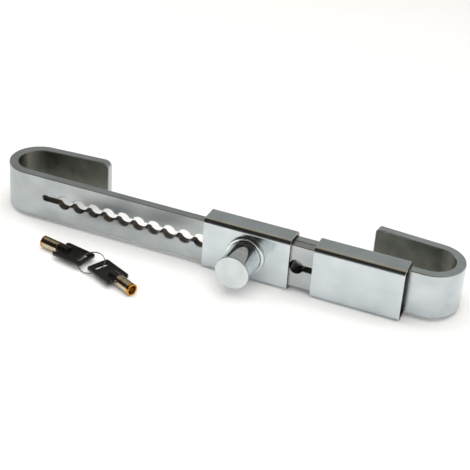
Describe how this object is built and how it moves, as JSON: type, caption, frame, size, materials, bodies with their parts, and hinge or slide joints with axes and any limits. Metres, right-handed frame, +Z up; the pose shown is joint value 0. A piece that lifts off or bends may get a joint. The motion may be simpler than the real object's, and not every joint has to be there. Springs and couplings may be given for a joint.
{
  "type": "cargo door lock bar",
  "caption": "Sliding two-hook lock bar for cargo and container doors: flat steel hook bars overlap in a lock housing and guide sleeve, with a push lock and keys on a ring.",
  "frame": {"origin": "middle of the lock housing's underside, on the plane where the two bars slide on each other", "axes": "+X along the bars towards the fixed hook, -Y the way the lock faces, +Z up with the bars on edge"},
  "size_m": [0.4665, 0.1567, 0.0544],
  "materials": {
    "chrome_bar": "bright chrome plate over rolled flat steel, soft ripples in the reflection",
    "chrome_tube": "bright chrome plate over square steel tube",
    "chrome_barrel": "mirror chrome plate on turned steel",
    "cap_metal": "satin nickel-chrome plate, fine turned texture on the face",
    "weld_metal": "plated fillet weld, rippled",
    "lock_brass": "machined brass",
    "hardened_steel": "ground hardened steel",
    "spring_steel": "drawn spring wire, nickel plated",
    "key_metal": "nickel-plated brass, worn warm at the edges",
    "key_plastic": "black moulded plastic, fine grain, slightly glossy"
  },
  "bodies": {
    "fixed_side": {"right_hook_bar": "chrome_bar", "lock_housing": "chrome_tube", "guide_sleeve": "chrome_tube", "housing_weld": "weld_metal", "sleeve_weld_left": "weld_metal", "sleeve_weld_right": "weld_metal", "lock_collar": "chrome_tube", "lock_barrel": "chrome_barrel", "guide_pin": "hardened_steel"},
    "sliding_bar": {"left_hook_bar": "chrome_bar"},
    "plunger": {"plunger_body": "lock_brass", "locking_bolt": "hardened_steel", "bolt_spring": "spring_steel"},
    "core": {"lock_core": "lock_brass", "core_spindle": "hardened_steel"},
    "tumblers": {"tumbler_pin_1": "hardened_steel", "tumbler_pin_2": "hardened_steel", "tumbler_pin_3": "hardened_steel", "tumbler_pin_4": "hardened_steel", "tumbler_pin_5": "hardened_steel", "tumbler_pin_6": "hardened_steel", "tumbler_pin_7": "hardened_steel"},
    "cap": {"barrel_cap": "cap_metal"},
    "ring": {"key_ring": "spring_steel"},
    "key_a": {"key_a_head": "key_plastic", "key_a_tube": "key_metal"},
    "key_b": {"key_b_head": "key_plastic", "key_b_tube": "key_metal"}
  },
  "joints": [
    {"name": "bar_slide", "type": "slide", "parent": "fixed_side", "child": "sliding_bar", "axis": [1, 0, 0], "range_m": [-0.04875, 0.17875]},
    {"name": "plunger_press", "type": "slide", "parent": "fixed_side", "child": "plunger", "axis": [0, 1, 0], "range_m": [0, 0.009], "stiffness_N_per_m": 600, "springref_m": -0.006, "deforming": ["bolt_spring"]},
    {"name": "core_turn", "type": "hinge", "parent": "plunger", "child": "core", "pos_m": [0.001, -0.04, 0.0272], "axis": [0, 1, 0], "range_deg": [0, 90]},
    {"name": "tumbler_press", "type": "slide", "parent": "core", "child": "tumblers", "axis": [0, 1, 0], "range_m": [0, 0.0007], "stiffness_N_per_m": 150, "springref_m": -0.003},
    {"name": "cap_pull", "type": "slide", "parent": "fixed_side", "child": "cap", "axis": [0, -1, 0], "range_m": [0, 0.03]},
    {"name": "ring_lift", "type": "slide", "parent": "fixed_side", "child": "ring", "axis": [0, 0, 1], "range_m": [0, 0.08]},
    {"name": "key_a_swing", "type": "hinge", "parent": "ring", "child": "key_a", "pos_m": [-0.1348, -0.0629, 0.0058], "axis": [-0.0843, -0.365, 0.9272], "range_deg": [-30, 0]},
    {"name": "key_b_swing", "type": "hinge", "parent": "ring", "child": "key_b", "pos_m": [-0.1348, -0.0629, 0.0058], "axis": [-0.0843, -0.365, 0.9272], "range_deg": [0, 30]}
  ]
}
